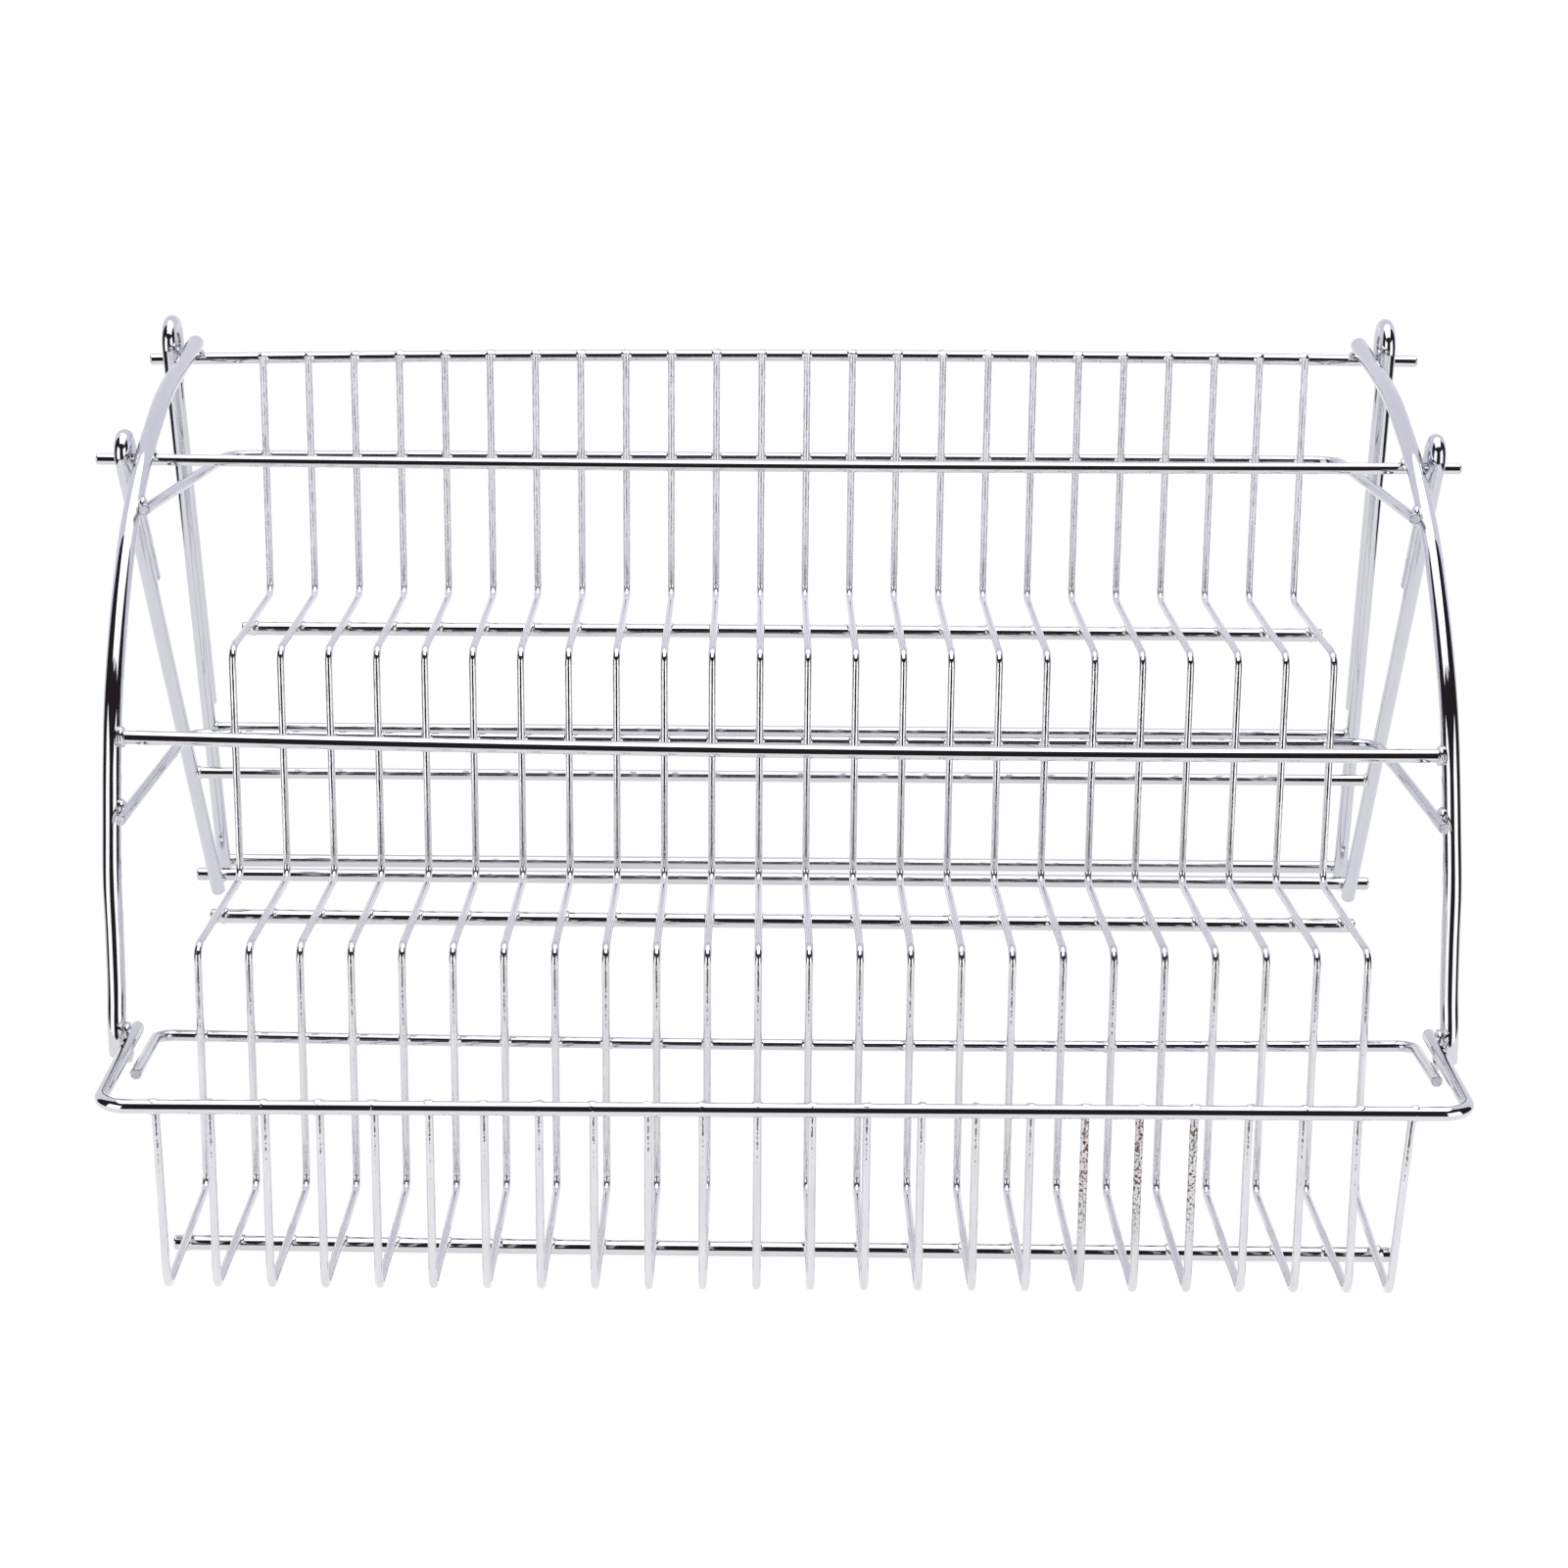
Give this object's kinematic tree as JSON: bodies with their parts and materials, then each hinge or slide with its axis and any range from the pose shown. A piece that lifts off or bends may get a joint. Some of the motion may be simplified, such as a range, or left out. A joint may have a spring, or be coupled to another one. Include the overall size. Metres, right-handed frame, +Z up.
{
  "type": "pull-down spice rack",
  "caption": "Stepped tiered basket of welded chrome wire with guard rails, curved side frames and hinged swing frames that let it pull out and down from a wall cabinet.",
  "frame": {"origin": "centre of the footprint, at the height of the table the rack stands on", "axes": "+X along the tiers to the right as seen from the open front, +Y from the front towards the back, +Z up; the basket leans back 10 degrees"},
  "size_m": [0.4628, 0.3206, 0.233],
  "materials": {
    "rim": "bright chrome plate on drawn steel rod",
    "swing_arms": "bright chrome plate on drawn steel rod",
    "bottom_bars": "bright chrome plate on drawn steel rod",
    "swing_braces": "bright chrome plate on drawn steel rod",
    "cross_wires": "bright chrome plate on drawn steel rod",
    "rails": "bright chrome plate on drawn steel rod",
    "tier_hoops": "bright chrome plate on drawn steel rod",
    "side_frames": "bright chrome plate on drawn steel rod",
    "tier_wires": "bright chrome plate on drawn steel rod"
  },
  "bodies": {
    "rack": {"front_rim": "rim", "lower_cross_wire": "cross_wires", "lower_guard_rail": "rails", "lower_tier_hoop": "tier_hoops", "middle_cross_wire": "cross_wires", "middle_tier_hoop": "tier_hoops", "side_frame_left": "side_frames", "side_frame_right": "side_frames", "tier_wire_01": "tier_wires", "tier_wire_02": "tier_wires", "tier_wire_03": "tier_wires", "tier_wire_04": "tier_wires", "tier_wire_05": "tier_wires", "tier_wire_06": "tier_wires", "tier_wire_07": "tier_wires", "tier_wire_08": "tier_wires", "tier_wire_09": "tier_wires", "tier_wire_10": "tier_wires", "tier_wire_11": "tier_wires", "tier_wire_12": "tier_wires", "tier_wire_13": "tier_wires", "tier_wire_14": "tier_wires", "tier_wire_15": "tier_wires", "tier_wire_16": "tier_wires", "tier_wire_17": "tier_wires", "tier_wire_18": "tier_wires", "tier_wire_19": "tier_wires", "tier_wire_20": "tier_wires", "tier_wire_21": "tier_wires", "tier_wire_22": "tier_wires", "tier_wire_23": "tier_wires", "tier_wire_24": "tier_wires", "top_rail": "rails", "upper_cross_wire": "cross_wires", "upper_guard_rail": "rails", "upper_tier_hoop": "tier_hoops"},
    "front_swing_frame": {"front_swing_arm_left": "swing_arms", "front_swing_arm_right": "swing_arms", "front_swing_bottom_bar": "bottom_bars", "front_swing_brace": "swing_braces"},
    "rear_swing_frame": {"rear_swing_arm_left": "swing_arms", "rear_swing_arm_right": "swing_arms", "rear_swing_bottom_bar": "bottom_bars", "rear_swing_brace": "swing_braces"}
  },
  "joints": [
    {"name": "front_swing", "type": "hinge", "parent": "rack", "child": "front_swing_frame", "pos_m": [0, 0.03843, 0.21157], "axis": [1, 0, 0], "range_deg": [-8, 54.3]},
    {"name": "rear_swing", "type": "hinge", "parent": "rack", "child": "rear_swing_frame", "pos_m": [0, 0.14191, 0.21644], "axis": [1, 0, 0], "range_deg": [-11.1, 75]}
  ],
  "couplings": [
    {"joint": "rear_swing", "follows": "front_swing", "ratio": 1.38}
  ]
}
